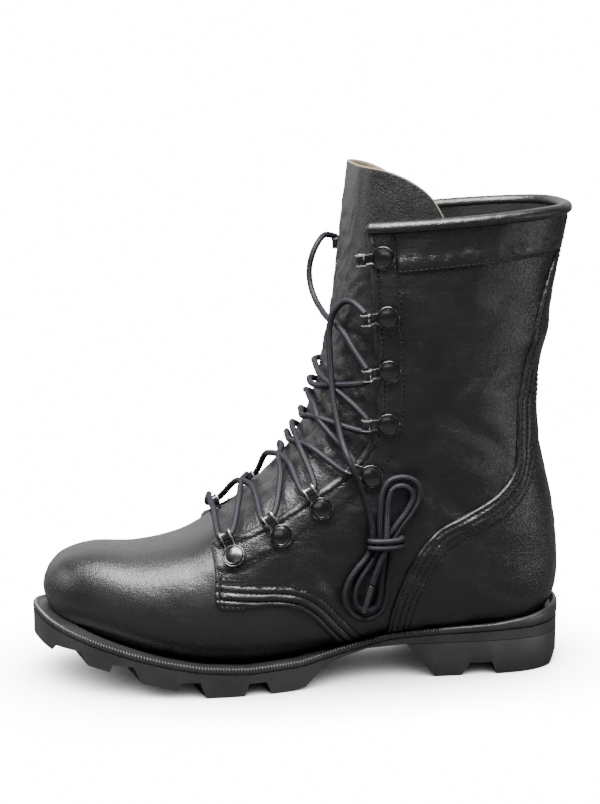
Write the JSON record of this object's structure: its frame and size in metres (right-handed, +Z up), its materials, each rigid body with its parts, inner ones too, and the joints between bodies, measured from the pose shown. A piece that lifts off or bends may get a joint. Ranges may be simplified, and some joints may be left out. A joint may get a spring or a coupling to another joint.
{
  "type": "combat boot",
  "caption": "Tall lace-up leather boot with speed-lace loops, padded collar roll, ribbed welt and lugged rubber sole.",
  "frame": {"origin": "on the floor, at the flat tread under the rear bar of the heel", "axes": "+X to the toe, +Y to the outer side of the foot, +Z up; a left boot standing on its sole"},
  "size_m": [0.3094, 0.1085, 0.2915],
  "materials": {
    "upper_leather": "smooth polished black",
    "tongue_leather": "soft wrinkled black",
    "sole_rubber": "matte black rubber",
    "insole_board": "matte lining",
    "loop_enamel": "gloss black enamel, worn bright at the rims",
    "lace_cord": "round braided black cord",
    "lace_tip": "gloss black"
  },
  "bodies": {
    "root": {"outsole": "sole_rubber", "heel": "sole_rubber", "welt": "sole_rubber", "insole": "insole_board", "upper": "upper_leather", "tongue": "tongue_leather", "collar_roll": "upper_leather", "heel_counter": "upper_leather", "eyestay_lateral": "upper_leather", "eyestay_medial": "upper_leather", "cuff_lateral": "upper_leather", "cuff_medial": "upper_leather", "speed_loop_lateral_1": "loop_enamel", "speed_loop_lateral_2": "loop_enamel", "speed_loop_lateral_3": "loop_enamel", "speed_loop_lateral_4": "loop_enamel", "speed_loop_lateral_5": "loop_enamel", "speed_loop_lateral_6": "loop_enamel", "speed_loop_lateral_7": "loop_enamel", "speed_loop_lateral_8": "loop_enamel", "speed_loop_medial_1": "loop_enamel", "speed_loop_medial_2": "loop_enamel", "speed_loop_medial_3": "loop_enamel", "speed_loop_medial_4": "loop_enamel", "speed_loop_medial_5": "loop_enamel", "speed_loop_medial_6": "loop_enamel", "speed_loop_medial_7": "loop_enamel", "speed_loop_medial_8": "loop_enamel", "lace_bar": "lace_cord", "lace_crossing_1": "lace_cord", "lace_crossing_2": "lace_cord", "lace_crossing_3": "lace_cord", "lace_crossing_4": "lace_cord", "lace_crossing_5": "lace_cord", "lace_slack": "lace_cord", "lace_end": "lace_cord", "lace_loops_above": "lace_cord", "lace_wraps": "lace_cord", "lace_loops_below": "lace_cord", "lace_tip": "lace_tip"}
  },
  "joints": []
}
